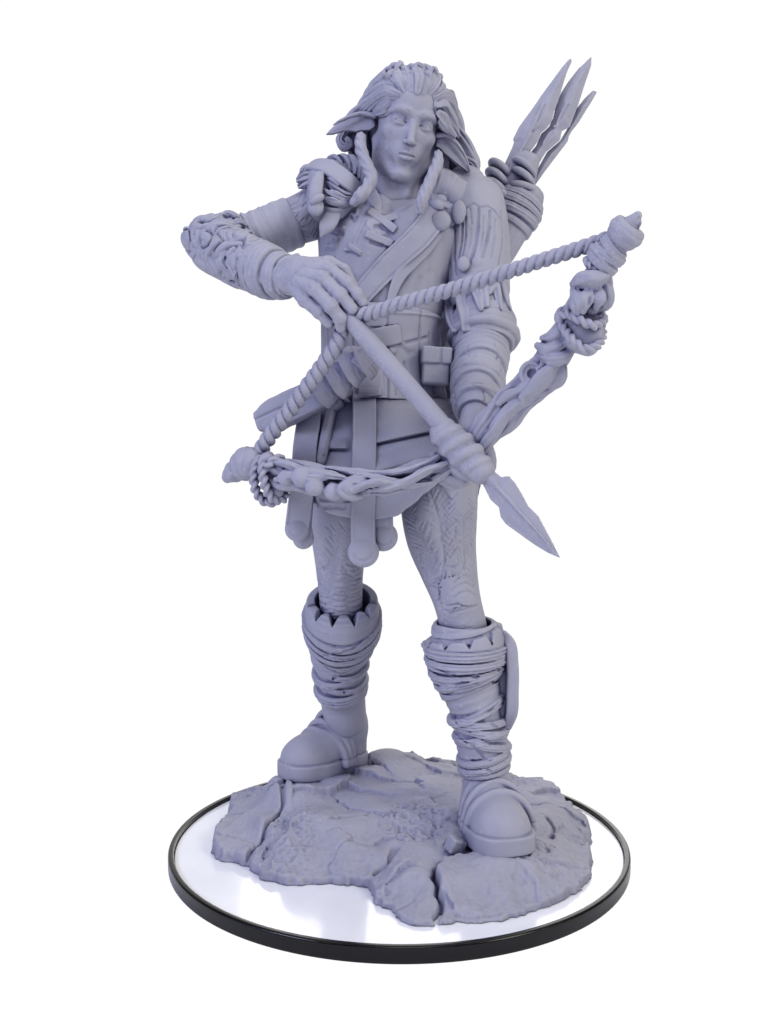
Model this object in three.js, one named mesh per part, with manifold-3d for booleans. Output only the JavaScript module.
// A 75 mm class tabletop miniature: a tall pointed-eared archer drawing a gnarled longbow,
// standing on a rocky mound on a round display base. Millimetres, +Z up, the figure faces -Y.
// Origin: centre of the base's underside. "Right" and "left" are the figure's own: right is -X.
import * as THREE from 'three';
import { mergeVertices } from 'three/addons/utils/BufferGeometryUtils.js';
import Module from 'manifold-3d';

const wasm = await Module();
wasm.setup();

// ---------------------------------------------------------------- driving dimensions (mm, rad)
const BASE_D = 50;          // round base
const BASE_H = 1.55;        // height of the rim
const BASE_CHAMFER = 0.25;  // top and bottom edge of the rim
const BASE_SIDES = 48;
const LIP_W = 0.62;         // width of the raised lip
const FLOOR_T = 0.55;       // floor of the rim's tray
const DISC_T = 0.5;         // display disc
const DISC_SIDE_FIT = 0.06; // clearance round the display disc
const FIT = 0.05;           // clearance between stacked base parts, and under straps
const GAP = 0.12;           // glue gap between neighbouring pieces
const ROCK_SIDES = 32;      // facets round the mound
const PEG_R = 1;            // locating pegs under the boots
const PEG_L = 1.6;
const STRAP_T = 0.7;        // outer face of the chest strap above the torso
const STRAP_W = 2.6;
const STRAP_TILT = -0.93;
const GUARD_FIT = 0.1;      // inner face of the shin guard
const TAB_DISC_T = 0.9;     // discs at the tab ends
const ARROW_R = 0.92;
const STRING_R = 0.8;

const X_AXIS = [1, 0, 0];
const Y_AXIS = [0, 1, 0];
const Z_AXIS = [0, 0, 1];

// ---------------------------------------------------------------- solids
// "grow" offsets a shape outwards; a grown copy cuts the glue gap into its neighbours.
function solid(geometry) {
  geometry.deleteAttribute('normal');
  geometry.deleteAttribute('uv');
  const merged = mergeVertices(geometry, 1e-4);
  const triVerts = new Uint32Array(merged.index.array);
  const vertProperties = new Float32Array(merged.attributes.position.array);
  const make = () => new wasm.Manifold(new wasm.Mesh({ numProp: 3, vertProperties, triVerts }));
  const made = make();
  if (made.volume() >= 0) return made;
  // Inside out: reverse every triangle.
  for (let i = 0; i < triVerts.length; i += 3) {
    [triVerts[i + 1], triVerts[i + 2]] = [triVerts[i + 2], triVerts[i + 1]];
  }
  return make();
}

const join = (...solids) => solids.reduce((a, b) => a.add(b));

const biggest = (shape) => shape.decompose()
  .reduce((best, part) => (part.volume() > best.volume() ? part : best));

// Two extra stations that round off an end; dome scales how far they reach outwards.
function domeEnd(end, outward, dome) {
  const station = (reach, shrink) => ({
    point: end.point.clone()
      .addScaledVector(outward, reach * Math.min(end.wide, end.thin) * dome),
    wide: end.wide * shrink,
    thin: end.thin * shrink,
  });
  return [station(0.6, 0.78), station(0.92, 0.38)];
}

// A closed loft along stations [x, y, z, radius] or [x, y, z, wide radius, thin radius]:
// a cylinder bent along the chain. wide is the direction the first radius points in.
function loft(stations, grow, { sides = 10, wide = X_AXIS, dome = 0 } = {}) {
  let chain = stations.map(([x, y, z, wideR, thinR = wideR]) => (
    { point: new THREE.Vector3(x, y, z), wide: wideR + grow, thin: thinR + grow }));
  const first = chain[0];
  const last = chain.at(-1);
  const startOut = first.point.clone().sub(chain[1].point).normalize();
  const endOut = last.point.clone().sub(chain.at(-2).point).normalize();
  if (dome) {
    const startCap = domeEnd(first, startOut, dome).reverse();
    chain = [...startCap, ...chain, ...domeEnd(last, endOut, dome)];
  } else {
    first.point.addScaledVector(startOut, grow);
    last.point.addScaledVector(endOut, grow);
  }

  const steps = chain.length - 1;
  const wideAxis = new THREE.Vector3(...wide);
  const frames = chain.map((_, i) => {
    const tangent = chain[Math.min(i + 1, steps)].point.clone()
      .sub(chain[Math.max(i - 1, 0)].point).normalize();
    const wideDir = wideAxis.clone()
      .addScaledVector(tangent, -wideAxis.dot(tangent)).normalize();
    return { wideDir, thinDir: tangent.clone().cross(wideDir) };
  });
  const geometry = new THREE.CylinderGeometry(1, 1, 1, sides, steps, false);
  const position = geometry.attributes.position;
  for (let i = 0; i < position.count; i++) {
    const row = Math.round((0.5 - position.getY(i)) * steps);
    const station = chain[row];
    const vertex = station.point.clone()
      .addScaledVector(frames[row].wideDir, position.getX(i) * station.wide)
      .addScaledVector(frames[row].thinDir, position.getZ(i) * station.thin);
    position.setXYZ(i, vertex.x, vertex.y, vertex.z);
  }
  return solid(geometry);
}

// A piece that is a single loft.
const lofted = (stations, options) => (grow) => loft(stations, grow, options);

function ball(centre, radii, grow, { tiltY = 0, around = 10, rows = 6 } = {}) {
  const geometry = new THREE.SphereGeometry(1, around, rows);
  geometry.scale(...radii.map((r) => r + grow));
  geometry.rotateY(tiltY);
  geometry.translate(...centre);
  return solid(geometry);
}

function block(centre, size, grow, [tiltX, tiltY, tiltZ] = [0, 0, 0]) {
  const geometry = new THREE.BoxGeometry(...size.map((length) => length + 2 * grow));
  geometry.rotateX(tiltX);
  geometry.rotateY(tiltY);
  geometry.rotateZ(tiltZ);
  geometry.translate(...centre);
  return solid(geometry);
}

// A coin whose flat faces look along facing.
function coin(centre, facing, radius, thickness, grow, sides) {
  const middle = new THREE.Vector3(...centre);
  const half = new THREE.Vector3(...facing).normalize().multiplyScalar(thickness / 2);
  const ends = [middle.clone().sub(half), middle.clone().add(half)];
  return loft(ends.map((end) => [...end.toArray(), radius]), grow, { sides, wide: Z_AXIS });
}

// Turns a profile of [radius, z] points round the Z axis.
function turn(profile, sides) {
  const points = profile.map(([radius, z]) => new THREE.Vector2(radius, z));
  return new THREE.LatheGeometry(points, sides).rotateX(Math.PI / 2);
}

// ---------------------------------------------------------------- base
const BASE_R = BASE_D / 2;
const TRAY_R = BASE_R - LIP_W;
const DISC_R = TRAY_R - DISC_SIDE_FIT;
const DISC_Z = FLOOR_T + FIT;
const DISC_TOP = DISC_Z + DISC_T;
const ROCK_Z = DISC_TOP + FIT;

const baseRim = () => solid(turn([
  [0, 0], [BASE_R - BASE_CHAMFER, 0], [BASE_R, BASE_CHAMFER],
  [BASE_R, BASE_H - BASE_CHAMFER], [BASE_R - BASE_CHAMFER, BASE_H],
  [TRAY_R, BASE_H], [TRAY_R, FLOOR_T], [0, FLOOR_T],
], BASE_SIDES));

const baseDisc = () => solid(turn(
  [[0, DISC_Z], [DISC_R, DISC_Z], [DISC_R, DISC_TOP], [0, DISC_TOP]], BASE_SIDES));

// ---------------------------------------------------------------- mound
// Plan outline, [x, y], anticlockwise seen from above.
const ROCK_OUTLINE = [
  [-20.4, -2], [-19.1, -6], [-15.3, -8], [-13.7, -10.9], [-9.8, -12.5], [-6.9, -12],
  [-3.1, -12.7], [-2.6, -16.3], [-1, -17.7], [0.6, -20.8], [4.3, -20.2], [7, -20.4],
  [10.7, -18.9], [14.9, -15.9], [17.9, -13.1], [19.5, -9], [20.3, -3.9], [21.7, 2.4],
  [21.2, 7.2], [19.5, 14.3], [14, 16.6], [8.3, 18.2], [4.5, 20.6], [-3, 20.4],
  [-9, 18.8], [-15, 15.6], [-20.3, 9.6], [-19.6, 5.5],
];
// Spot heights, [x, y, z].
const SPOT_HEIGHTS = [
  [-11, 0, 7], [-8, 3, 7], [-5, 6.5, 6.8], [-3, 11, 8.2], [-10, 9, 6.6], [9.4, -14, 4.5],
  [9, -10.5, 4.7], [9.5, -17, 3.8], [0, 0, 6.2], [4, 6, 6.4], [3, -8, 4.2], [-3, -8, 4.2],
  [-9, -7, 4.6], [-15, -4, 3.6], [-16, 3, 3.8], [-14, 9, 4.4], [-7, 15, 5], [5, 14, 5],
  [12, 9, 5.2], [16, 2, 4.2], [12, -3, 5], [16, -9, 3.6], [4, -16, 3.4], [14, 13, 4],
];
const SPOT_SOFTNESS = 2;   // keeps a spot's weight finite at its centre
const SPOT_FALLOFF = 1.6;  // power of the squared distance
// Rings of the mound, [share of outline radius, share of ground height].
const ROCK_RINGS = [
  [0, 1], [0.2, 1], [0.4, 1], [0.6, 1], [0.78, 1], [0.9, 0.88], [0.985, 0.5],
  [1, 0], [0.5, 0], [0, 0],
];

// Distance from the origin to the farthest outline edge in the direction of the angle.
function outlineRadius(angle) {
  const dirX = Math.cos(angle);
  const dirY = Math.sin(angle);
  let farthest = 0;
  ROCK_OUTLINE.forEach(([x, y], i) => {
    const [nextX, nextY] = ROCK_OUTLINE[(i + 1) % ROCK_OUTLINE.length];
    const edgeX = nextX - x;
    const edgeY = nextY - y;
    const cross = dirX * edgeY - dirY * edgeX;
    if (Math.abs(cross) < 1e-9) return;
    const distance = (x * edgeY - y * edgeX) / cross;
    const share = (x * dirY - y * dirX) / cross;
    if (distance > 0 && share >= 0 && share <= 1) farthest = Math.max(farthest, distance);
  });
  return farthest;
}

// Average of the spot heights, weighted by nearness.
function groundHeight(x, y) {
  let total = 0;
  let sum = 0;
  for (const [spotX, spotY, height] of SPOT_HEIGHTS) {
    const squared = (x - spotX) ** 2 + (y - spotY) ** 2;
    const weight = 1 / (squared + SPOT_SOFTNESS) ** SPOT_FALLOFF;
    total += weight;
    sum += weight * height;
  }
  return sum / total;
}

function rock() {
  const geometry = turn(ROCK_RINGS, ROCK_SIDES);
  const position = geometry.attributes.position;
  for (let i = 0; i < position.count; i++) {
    const unitX = position.getX(i);
    const unitY = position.getY(i);
    const angle = Math.atan2(unitY, unitX);
    const radius = outlineRadius(angle) * Math.hypot(unitX, unitY);
    const x = radius * Math.cos(angle);
    const y = radius * Math.sin(angle);
    position.setXYZ(i, x, y, ROCK_Z + position.getZ(i) * (groundHeight(x, y) - ROCK_Z));
  }
  return solid(geometry);
}

// ---------------------------------------------------------------- legs
// Station tables from here on have loft's columns: x, y, z, wide radius, thin radius.
const leftLeg = lofted([
  [3.6, -2.5, 46.6, 4.2, 4.3], [4.18, -3, 43.64, 4.5, 4.7], [4.22, -4.1, 38.83, 4.12, 4.5],
  [4.47, -5.3, 34.65, 3.6, 4], [5.14, -6.4, 31.59, 2.95, 3.4], [5.91, -7.1, 28.56, 2.5, 2.8],
  [6.54, -7.1, 25.98, 2.4, 2.6], [7.08, -6.9, 22.31, 2.4], [7.93, -6.8, 18.14, 2.1],
  [8.69, -6.6, 13.92, 1.8], [9.1, -6.4, 10.2, 1.7],
], { sides: 8 });

const rightLeg = lofted([
  [-5.6, -0.8, 46.6, 4.1, 4.2], [-6.12, -0.5, 43.75, 4.38, 4.5], [-6.38, 0.2, 38.79, 3.7, 4.3],
  [-6.53, 0.9, 34.32, 3.05, 3.7], [-6.57, 1.5, 30.35, 2.6, 3], [-6.49, 2, 27.47, 2.45, 2.7],
  [-6.42, 2.8, 24.51, 2.4, 2.6], [-6.58, 3.7, 21.49, 2.4, 2.6], [-6.52, 4.8, 17.79, 2.2],
  [-6.33, 5.7, 14.07, 2], [-6.05, 6.4, 10.8, 1.9],
], { sides: 8 });

const leftWrap = lofted([
  [6.33, -7.2, 27.4, 3.1], [6.7, -7.1, 25.2, 3.6], [6.87, -7, 23.2, 4],
  [6.98, -6.9, 21.48, 3.85], [7.41, -6.8, 19.7, 3.3], [7.93, -6.8, 17.93, 2.95],
  [8.26, -6.7, 16.03, 2.85], [8.58, -6.6, 13.39, 2.65], [8.82, -6.4, 11.6, 2.6],
]);

const rightWrap = lofted([
  [-6.3, 2, 28.4, 3.9], [-6.39, 2.4, 26.2, 4.2], [-6.42, 2.8, 24.17, 4.35],
  [-6.56, 3.4, 22.2, 3.9], [-6.71, 4, 20.63, 3.3], [-6.64, 4.8, 17.79, 2.95],
  [-6.44, 5.4, 15.32, 2.85], [-6.22, 5.8, 13.2, 2.75],
]);

// A boot on a sole at height sole, from heel [x, y] to toe [x, y], with a peg underneath.
const boot = ({ ankle, heel, toe, sole, radius }) => (grow) => {
  const alongX = toe[0] - heel[0];
  const alongY = toe[1] - heel[1];
  const length = Math.hypot(alongX, alongY);
  const wide = [-alongY / length, alongX / length, 0];
  const at = (share) => [heel[0] + alongX * share, heel[1] + alongY * share];
  // Rows: share of the way to the toe, height over the sole, width / radius, thin radius.
  const station = ([share, height, width, thin]) => (
    [...at(share), sole + height, radius * width, thin]);

  const foot = loft([
    [-0.06, 1.5, 0.72, 1.4], [0.12, 2, 0.92, 2], [0.42, 2.1, 1, 2.1],
    [0.72, 1.75, 1.12, 1.75], [0.92, 1.45, 1, 1.4], [1.04, 1.2, 0.6, 0.95],
  ].map(station), grow, { sides: 8, wide });
  const shaft = loft([
    [ankle[0], ankle[1], ankle[2] + 2.2, radius * 0.9],
    [...ankle, radius * 0.92],
    station([0.24, 2.2, 0.95]),
  ], grow, { sides: 8 });
  const soleSlab = loft([
    [-0.1, 0.45, 0.7, 0.45], [0.1, 0.45, 0.98, 0.45], [0.72, 0.45, 1.16, 0.45],
    [0.95, 0.45, 0.98, 0.45], [1.06, 0.45, 0.5, 0.45],
  ].map(station), grow, { sides: 6, wide });
  const peg = loft([
    [...at(0.45), sole + 1, PEG_R], [...at(0.45), sole - PEG_L, PEG_R],
  ], grow, { sides: 8 });
  return join(foot, shaft, soleSlab, peg);
};

const leftBoot = boot({
  ankle: [9.05, -6.5, 9.8], heel: [8.35, -4.6], toe: [10.8, -13.9], sole: 4.6, radius: 2.75 });
const rightBoot = boot({
  ankle: [-6.05, 6.6, 11.6], heel: [-4.8, 8.2], toe: [-13.2, 2.2], sole: 7, radius: 2.65 });

// A curved plate: the outer (+X) side of a tube round the left shin.
function shinGuard(grow) {
  const outer = loft([[6.95, -7, 24.6, 4.7], [7.45, -6.8, 20, 4.4], [8.2, -6.7, 15.2, 3.85]],
    grow, { sides: 12 });
  const inner = loft([[6.8, -7.1, 25.6, 4.15], [7.3, -6.9, 20, 3.7], [8.3, -6.7, 14, 3.15]],
    GUARD_FIT - grow, { sides: 12 });
  const side = block([12.5, -6.6, 19.8], [5, 4.6, 9.2], grow);
  return biggest(outer.subtract(inner).intersect(side));
}

// ---------------------------------------------------------------- body
const torso = lofted([
  [-2.15, -2, 43.6, 7.5, 5], [-2.04, -2, 47.47, 7.2, 4.8], [-1.93, -2, 51.24, 6.2, 4.1],
  [-1.93, -2, 55.55, 5.9, 4], [-1.61, -1.6, 60.47, 6.7, 4.5], [-1.18, -1, 64.94, 7.7, 4.9],
  [-0.74, -0.5, 68.87, 7.9, 4.7], [-0.41, -0.3, 71.65, 6.2, 3.5], [-0.3, -0.5, 73, 3.6, 2.8],
], { sides: 12 });

// A wide belt with two coins on its front.
const belt = (grow) => join(
  loft([
    [-2.04, -2, 49.7, 7, 4.8], [-1.93, -2, 52.3, 6.72, 4.6],
    [-1.93, -2, 56.1, 6.56, 4.6], [-1.93, -2, 58.45, 6.75, 4.8],
  ], grow, { sides: 12 }),
  coin([-1.45, -6.6, 56.5], Y_AXIS, 0.75, 0.8, grow, 10),
  coin([1.2, -6.4, 56.6], [-0.15, 1, 0], 0.55, 0.8, grow, 10));

// A flared shell, hollow from below, with its hem cut on a slant at each side.
function skirt(grow) {
  const outer = loft([
    [-2.04, -2, 50.4, 7, 5], [-1.6, -2, 47.47, 8.2, 6.2], [-0.9, -2.1, 43.68, 9.5, 7.6],
    [-1, -2.4, 39.89, 10.2, 8.4], [-1.6, -2.6, 36.6, 10.2, 8.6],
  ], grow, { sides: 14 });
  const inner = loft([
    [-2.04, -2, 46.5, 6.9, 5], [-0.9, -2.1, 43.68, 8.5, 6.7],
    [-1, -2.4, 39.89, 9.3, 7.5], [-1.6, -2.6, 34, 9.4, 7.8],
  ], -grow, { sides: 14 });
  return outer.subtract(inner)
    .subtract(block([8.6, -2, 35.6], [16, 30, 6], -grow, [0, -0.36, 0]))
    .subtract(block([-13, -2, 34.6], [12, 30, 6], -grow, [0, 0.3, 0]));
}

// A tilted slab cut from a shell round the torso.
function chestStrap(grow) {
  const shell = torso(STRAP_T + grow).subtract(torso(FIT - grow));
  const slab = block([-0.8, -1, 65.4], [40, 40, STRAP_W], grow, [0, STRAP_TILT, 0]);
  return biggest(shell.intersect(slab));
}

// A hanging strip with a disc at its lower end.
const tab = (stations, discCentre, discR) => (grow) => join(
  loft(stations, grow, { sides: 6, wide: [1, 0, 0.05] }),
  coin(discCentre, [0.1, 1, 0.1], discR, TAB_DISC_T, grow, 14));

const frontTab = tab([
  [-4.84, -7.9, 49.4, 1.15, 0.4], [-4.6, -8.9, 46, 1.15, 0.4], [-4.49, -9.7, 43.5, 1.2, 0.4],
  [-3.88, -10.2, 38.87, 1.25, 0.4], [-3.5, -10.4, 35.2, 1.3, 0.4],
], [-3.4, -10.4, 33.9], 1.6);
const frontTabUnder = tab([
  [-2.4, -7.6, 48.9, 1.1, 0.38], [-1.9, -8.8, 45, 1.15, 0.38],
  [-1.55, -9.6, 41, 1.15, 0.38], [-1.3, -9.7, 36.3, 1.2, 0.38],
], [-1.25, -9.7, 35.2], 1.45);
const sideTab = tab([
  [-8.2, -6, 49.6, 1.1, 0.4], [-9.4, -7.4, 45.5, 1.2, 0.4],
  [-10, -8.2, 41, 1.2, 0.4], [-10.3, -8.3, 37, 1.25, 0.4],
], [-10.4, -8.3, 36.2], 1.5);
const sideTabRear = tab([ // lies flat against the side, so its thin radius points along X
  [-10.6, -2.2, 46.6, 0.38, 1.05], [-11.9, -2.6, 42.6, 0.38, 1.1],
  [-12.3, -2.8, 38.2, 0.38, 1.15],
], [-12.3, -2.8, 36.9], 0.9);
const hipTab = tab([
  [-6.9, -6.9, 50.2, 1.5, 0.4], [-7.1, -7.8, 47.4, 1.5, 0.4], [-7, -8.4, 44.9, 1.5, 0.4],
], [-6.95, -8.4, 43.9], 1.75);

// Each pouch is a body and a flap over its top.
const pouch = (grow) => join(
  block([3.9, -6.4, 52.2], [2.9, 2.2, 4.6], grow, [0.06, 0, 0.5]),
  block([4.1, -6.9, 53.9], [3.1, 2.2, 1.5], grow, [0.06, 0, 0.5]));
const pouchRear = (grow) => join(
  block([5.6, 2, 51.6], [2.4, 3.4, 4.2], grow, [0, 0.05, -0.35]),
  block([5.9, 2, 53.3], [2.4, 3.6, 1.2], grow, [0, 0.05, -0.35]));

// Grip, pommel and guard.
const dagger = (grow) => join(
  loft([
    [-2.3, -9.5, 53.9, 1], [-3.79, -9.4, 53.05, 1.1],
    [-5.49, -9.2, 51.68, 1.2], [-6.4, -9.1, 50.9, 1.2],
  ], grow, { sides: 8, wide: Y_AXIS }),
  ball([-2.1, -9.5, 53.9], [0.95, 0.95, 0.95], grow, { around: 8 }),
  loft([[-6.2, -9.1, 51.1, 0.5, 1.9], [-6.9, -9, 50.5, 0.5, 1.9]],
    grow, { sides: 6, wide: Y_AXIS }));
const scabbard = lofted([
  [-6.9, -9, 50.3, 1, 1.3], [-10.1, -8.2, 48.99, 0.95, 1.25],
  [-13.27, -7.2, 47.76, 0.8, 1.05], [-14.9, -6.9, 47.1, 0.5, 0.6],
], { sides: 8, wide: Y_AXIS });

// ---------------------------------------------------------------- head
const HEAD_CENTRE = [0.7, -3.4, 78.4];
const HEAD_TILT = [0.38, 0.16, 0.2];

// The face is made upright round the origin, then tilted as one.
function face(grow) {
  const skull = ball([0, 0.5, 1.2], [3.3, 4, 3.8], grow, { rows: 7 });
  const jaw = ball([0, -0.9, -2.4], [2.5, 2.9, 3.2], grow, { rows: 7 });
  const nose = loft([[0, -3.4, 0.3, 0.35], [0, -4.1, -1.4, 0.55]], grow, { sides: 6, dome: 1 });
  const matrix = new THREE.Matrix4()
    .makeRotationFromEuler(new THREE.Euler(...HEAD_TILT, 'ZYX'))
    .setPosition(...HEAD_CENTRE);
  return join(skull, jaw, nose).transform(matrix.toArray());
}

function head(grow) {
  const neck = loft([
    [-0.5, 0.2, 69.6, 2.6], [-0.45, -0.4, 71.4, 2.5],
    [-0.31, -1.4, 73, 2.35], [0.1, -2.2, 75.2, 2.3],
  ], grow, { sides: 8 });
  const rightEar = loft([
    [-1.6, -3.2, 78, 1.1, 0.5], [-4.2, -3.3, 78.3, 1.25, 0.45],
    [-6.2, -2, 78.7, 0.75, 0.35], [-7.9, -1, 79, 0.15],
  ], grow, { sides: 6, wide: Z_AXIS });
  const leftEar = loft([
    [3.4, -2.6, 77.3, 1.1, 0.5], [5.2, -2.6, 76.9, 1.15, 0.45],
    [6.6, -1.4, 76.2, 0.7, 0.35], [8, 0, 75.3, 0.15],
  ], grow, { sides: 6, wide: Z_AXIS });
  return join(face(grow), neck, rightEar, leftEar);
}

const hair = (grow) => join(
  ball([0.7, -0.6, 80.4], [4.9, 4.7, 4.9], grow, { around: 12, rows: 7 }), // cap
  ball([1.4, 0.3, 83.9], [3, 3, 2.3], grow),                               // crown
  ball([-2.6, 0.6, 77.8], [2, 2.4, 4], grow, { around: 8 }),               // right side
  ball([4.2, 0.8, 77.2], [2, 2.4, 4], grow, { around: 8 }),                // left side
  ball([0.8, 2.4, 76.6], [4, 2.2, 4.6], grow));                            // back

const rightBraid = lofted([
  [-3.9, -3.7, 77.6, 0.55], [-4.12, -4.4, 76.36, 0.74], [-4, -5, 74.27, 0.74],
  [-3.05, -5.6, 72.2, 0.7], [-3.66, -6.2, 70.26, 0.73], [-4.58, -6.4, 69.3, 0.55],
], { sides: 6 });
const leftBraid = lofted([
  [4.1, -4, 76.6, 0.5], [3.83, -4.8, 75.17, 0.65], [3.28, -5.6, 73.1, 0.7],
  [2.32, -6.2, 70.83, 0.7], [2.2, -6.6, 68.8, 0.55],
], { sides: 6 });

// ---------------------------------------------------------------- right arm, draws the string
const rightUpperArm = lofted([
  [-5.2, 0.4, 72.2, 3], [-6.9, 0.5, 72.2, 3.2], [-8.88, 0.2, 71.16, 3],
  [-11.86, -0.8, 69.11, 2.5], [-14.75, -2, 67.25, 2.3], [-17.4, -3, 65.95, 2.2],
], { sides: 8, wide: Y_AXIS });

const rightArmBand = (grow) => biggest(
  loft([[-12.9, -1.2, 68.5, 2.9], [-15.6, -2.3, 66.8, 2.75]], grow, { sides: 8, wide: Y_AXIS })
    .subtract(rightUpperArm(FIT - grow)));

const rightBracer = lofted([
  [-20.3, -3, 66.3, 2.2], [-19.83, -3.6, 65.6, 2.9], [-18.49, -5.2, 64.27, 3.3],
  [-15.95, -7.4, 62.68, 2.75], [-13.9, -9.2, 61.7, 2.25],
], { wide: Z_AXIS });

const rightCuff = lofted([
  [-13.8, -9.3, 61.6, 2.5], [-12.6, -10.4, 61, 2.3], [-11.2, -11.7, 60.3, 2.35],
], { sides: 8, wide: Z_AXIS });

// A rounded fist and one slim finger below it.
const rightHand = (grow) => join(
  loft([
    [-11.2, -11.9, 60.2, 1.7, 1.3], [-9.23, -13, 59.4, 2.1, 1.3],
    [-7.2, -14.1, 58.3, 2, 1.2], [-5.8, -15, 57, 1.6, 1.1],
  ], grow, { sides: 8, wide: [0.4, -0.3, 1], dome: 0.6 }),
  loft([[-8.4, -13.4, 58.6, 0.75], [-6.6, -14.3, 56.2, 0.7], [-5.4, -14.9, 54.6, 0.55]],
    grow, { sides: 6, dome: 1 }));

const pauldron = (grow) => join(
  ball([-7.3, 0.2, 73.4], [3.9, 4.1, 2.6], grow, { tiltY: -0.35 }),
  ball([-6.6, -2.6, 70.6], [2.6, 1.9, 2.9], grow),
  ball([-8.6, 0.6, 72.2], [2.9, 3.9, 2.3], grow, { tiltY: -0.5 }));

// ---------------------------------------------------------------- left arm, holds the bow
const leftUpperArm = lofted([
  [5.6, 0.8, 72.9, 2.3], [6.9, 0.9, 71.2, 3], [8, 0.45, 67.49, 2.95],
  [8.59, -1.4, 62.68, 2.6], [8.7, -3.2, 58.2, 2.45],
], { sides: 8 });

const leftCuff = lofted([
  [8.6, -3.1, 58.9, 2.9], [8.48, -3.7, 57.4, 3.4], [8.32, -4.3, 55.6, 3.5], [8.2, -5, 53.9, 2.9],
]);

const leftForearm = lofted([
  [8.2, -5, 54.4, 2.5], [8.21, -6.4, 52.77, 2.6], [7.74, -9, 49.91, 2.35],
  [7.3, -11.5, 47.48, 2], [6.9, -13.2, 45.9, 1.75],
], { sides: 8 });

const leftHand = (grow) => join(
  loft([
    [6.8, -13.5, 45.6, 1.6], [5.9, -15.3, 44.2, 1.95],
    [5.6, -16.8, 42.6, 2], [6.2, -17.3, 41.6, 1.6],
  ], grow, { sides: 8, dome: 0.7 }),
  ball([4.9, -17.4, 43.6], [1.9, 1.5, 2.1], grow));

// A drape over the left shoulder, hollowed from below.
const mantle = (grow) => loft([
  [4.6, 0.2, 74, 2.6, 3], [6.6, 0.2, 73.2, 3.3, 4], [8.6, 0, 70, 3.4, 4.3],
  [8.9, -0.4, 65.6, 3.6, 4.4], [8.4, -1.2, 60.6, 3.4, 4.2],
], grow, { wide: [1, 0, 0.5] }).subtract(loft([
  [8.3, 0.2, 66.8, 3, 3.6], [8.6, -1, 62.5, 3, 3.5], [8.5, -1.4, 58, 3, 3.5],
], -grow));

const beads = (grow) => join(
  ball([3.4, -4.4, 71.9], [1.5, 1, 1.1], grow, { around: 8 }),
  ball([4.9, -4.6, 70.9], [1.2, 0.9, 1.2], grow, { around: 8 }),
  ball([2.6, -4.9, 70.3], [1.1, 0.8, 1.5], grow, { around: 8 }));

// ---------------------------------------------------------------- bow, string, arrow
// One chain from the upper tip, past the grip, to the lower tip.
const bowStave = lofted([
  [19.3, -24.8, 62.6, 0.9], [18.54, -24.5, 61.87, 1.5], [17.51, -24, 60.62, 1.4],
  [16.84, -23.2, 59.06, 1.25], [16.73, -22.3, 57.33, 1.2], [16.11, -21.3, 55.58, 1.2],
  [14.91, -20.4, 53.85, 1.25], [13.44, -19.4, 52.26, 1.3], [12.01, -18.4, 50.63, 1.25],
  [10.64, -17.4, 48.95, 1.23], [9.1, -16.6, 47.2, 1.2], [7.51, -16, 45.41, 1.11],
  [5.76, -16, 43.56, 1.05], [4.29, -15.8, 41.9, 1.12], [2.73, -15.4, 40.79, 1.22],
  [-0.07, -14.8, 40.14, 1.22], [-2.91, -14, 40.24, 1.24], [-5.81, -13, 40.44, 1.3],
  [-8.78, -12, 40.83, 1.28], [-11.3, -11.2, 41.34, 1.28], [-13.68, -10.3, 41.85, 1.3],
  [-15.37, -9.6, 42.17, 1.15], [-17.08, -9, 41.28, 0.4],
], { sides: 8, wide: Y_AXIS });

const upperLashing = lofted([
  [13, -19.1, 51.8, 1.9], [14, -19.8, 52.9, 2.5], [15.2, -20.6, 54.3, 2.4],
  [16, -21.2, 55.4, 1.8],
], { sides: 8, wide: Y_AXIS });
const tipLashing = lofted([
  [17.2, -23.6, 60, 1.75], [17.9, -24.2, 61.1, 1.95], [18.7, -24.6, 62, 1.9],
], { sides: 8, wide: Y_AXIS });
const lowerLashing = lofted([
  [-13, -10.5, 41.7, 1.75], [-14.3, -10, 42, 1.95], [-15.6, -9.5, 42.2, 1.6],
], { sides: 8, wide: Y_AXIS });

// Path of the string from the upper tip to the lower one, [x, y, z].
const STRING_PATH = [
  [17.3, -23.7, 61.2], [11.95, -21.2, 59.91], [6.99, -19, 58.71], [1.72, -17, 57.55],
  [-3.82, -15, 56.6], [-5.4, -14.5, 55.5], [-6.4, -14, 53.6], [-8.66, -13.2, 50.38],
  [-11.19, -12, 47.43], [-13.6, -10.8, 44.7], [-14.9, -10, 43.3],
];
const bowstring = lofted(STRING_PATH.map((point) => [...point, STRING_R]),
  { sides: 6, wide: Y_AXIS });

const arrowShaft = lofted([
  [-6.1, -14.55, 56.75, ARROW_R], [7.1, -17.6, 41.8, ARROW_R],
], { sides: 8, wide: Y_AXIS });
const arrowHead = lofted([
  [7.2, -17.62, 41.7, 0.9], [8.1, -17.8, 40.6, 0.9], [8.95, -18, 39.66, 1.7, 0.6],
  [9.98, -18.3, 38.4, 1.95, 0.6], [11.97, -18.9, 36, 1.25, 0.5], [14.19, -19.6, 33.52, 0.12],
], { sides: 6, wide: [1, 0, 0.9] });

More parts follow.
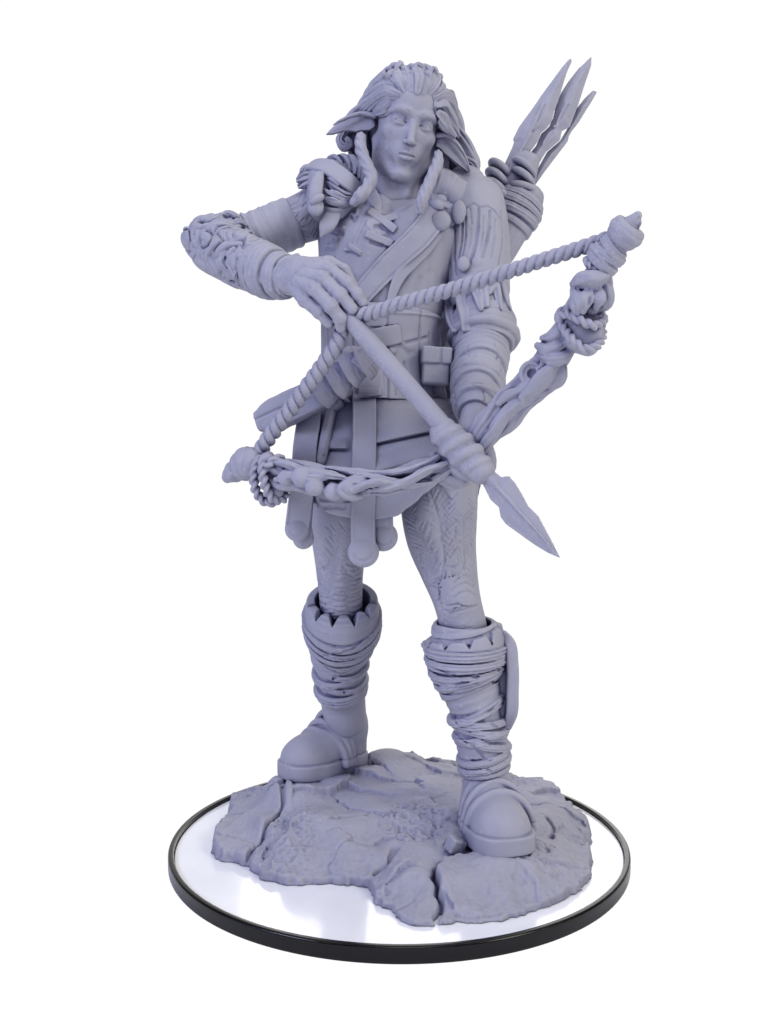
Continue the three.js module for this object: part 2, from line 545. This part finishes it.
// ---------------------------------------------------------------- quiver
const quiver = lofted([
  [15.4, 8, 75.1, 2.75], [14.98, 8, 74.2, 3], [13.86, 7.9, 71.86, 2.9], [12.5, 7.7, 69.18, 2.8],
  [9.7, 7.5, 63.93, 2.7], [6.1, 7.2, 57.29, 2.5], [3.7, 6.8, 53.03, 2.1],
], { wide: Y_AXIS });
const binding = lofted([
  [14.8, 8.3, 75.4, 2.1], [15.3, 8.3, 77, 2.35], [15.8, 8.3, 78.8, 2.1],
], { sides: 8, wide: Y_AXIS });
const blade1 = lofted([
  [14, 7.6, 74.2, 0.75, 0.45], [15.2, 7.7, 78.4, 0.85, 0.45],
  [16.81, 7.8, 82.49, 1.25, 0.42], [20.25, 8, 90.89, 0.12],
], { sides: 6, wide: [1, 0, -0.4] });
const blade2 = lofted([
  [15.3, 8.3, 74.2, 0.75, 0.45], [16.4, 8.3, 78.4, 0.85, 0.45],
  [18.31, 8.4, 82.4, 1.3, 0.42], [23.08, 8.6, 91.37, 0.12],
], { sides: 6, wide: [1, 0, -0.4] });
const blade3 = lofted([
  [16.3, 9.2, 74.4, 0.7, 0.45], [17.7, 9.3, 78.4, 0.8, 0.45],
  [19.9, 9.5, 81.9, 1.1, 0.42], [24.16, 10, 88.03, 0.12],
], { sides: 6, wide: [1, 0, -0.5] });
const quiverStrap = lofted([
  [4.8, 4.4, 72.4, 0.5, 1.2], [8.2, 6, 71.4, 0.5, 1.2], [12, 7.3, 71, 0.5, 1.2],
], { sides: 6, wide: Z_AXIS });

// ---------------------------------------------------------------- assembly
const GREY_PLASTIC = { color: 0x9292a3, roughness: 0.62, metalness: 0 };
const GLOSS_BLACK = { color: 0x0a0a0b, roughness: 0.22, metalness: 0 };
const GLOSS_WHITE = { color: 0xe8e8ea, roughness: 0.2, metalness: 0 };

// Highest priority first: each piece is cut back, with the glue gap, round those before it.
const PIECES = [
  ['base_rim', baseRim, GLOSS_BLACK], ['base_disc', baseDisc, GLOSS_WHITE],
  ['bowstring', bowstring], ['arrow_shaft', arrowShaft], ['arrow_head', arrowHead],
  ['bow_stave', bowStave], ['bow_upper_tip_lashing', tipLashing],
  ['bow_upper_lashing', upperLashing], ['bow_lower_lashing', lowerLashing],
  ['right_hand', rightHand], ['left_hand', leftHand], ['right_cuff', rightCuff],
  ['right_bracer', rightBracer], ['right_arm_band', rightArmBand],
  ['left_elbow_cuff', leftCuff], ['left_forearm', leftForearm],
  ['right_front_braid', rightBraid], ['left_front_braid', leftBraid],
  ['head', head], ['hair', hair], ['mantle_beads', beads],
  ['left_upper_arm', leftUpperArm], ['left_mantle', mantle],
  ['right_upper_arm', rightUpperArm], ['right_pauldron', pauldron],
  ['left_boot', leftBoot], ['right_boot', rightBoot],
  ['left_leg', leftLeg], ['right_leg', rightLeg], ['torso_tunic', torso],
  ['dagger', dagger], ['dagger_scabbard', scabbard],
  ['front_tab', frontTab], ['front_tab_under', frontTabUnder], ['hip_tab', hipTab],
  ['side_tab', sideTab], ['side_tab_rear', sideTabRear],
  ['belt_pouch', pouch], ['belt_pouch_rear', pouchRear],
  ['quiver_blade_1', blade1], ['quiver_blade_2', blade2], ['quiver_blade_3', blade3],
  ['quiver_binding', binding], ['quiver', quiver], ['quiver_strap', quiverStrap],
  ['chest_strap', chestStrap], ['waist_belt', belt], ['left_shin_guard', shinGuard],
  ['left_leg_wrap', leftWrap], ['right_leg_wrap', rightWrap],
  ['skirt_cloth', skirt], ['rock_terrain', rock],
];

function boxesTouch(one, other) {
  const a = one.boundingBox();
  const b = other.boundingBox();
  return [0, 1, 2].every((i) => a.min[i] <= b.max[i] && b.min[i] <= a.max[i]);
}

function toMesh(name, shape, look) {
  const { vertProperties, triVerts } = shape.getMesh();
  const geometry = new THREE.BufferGeometry();
  geometry.setAttribute('position', new THREE.Float32BufferAttribute(vertProperties, 3));
  geometry.setIndex(new THREE.BufferAttribute(new Uint32Array(triVerts), 1));
  geometry.computeVertexNormals();
  const mesh = new THREE.Mesh(geometry, new THREE.MeshStandardMaterial(look));
  mesh.name = name;
  return mesh;
}

const figure = new THREE.Group();
figure.name = 'archer_miniature';
const cutters = []; // grown copies of the pieces made so far
for (const [name, makeShape, look = GREY_PLASTIC] of PIECES) {
  let shape = makeShape(0);
  for (const cutter of cutters) {
    if (boxesTouch(shape, cutter)) shape = shape.subtract(cutter);
  }
  // Drop offcuts, and the slivers that the cuts leave.
  shape = biggest(biggest(shape).simplify(GAP / 3));
  cutters.push(makeShape(GAP));
  figure.add(toMesh(name, shape, look));
}
export default figure;
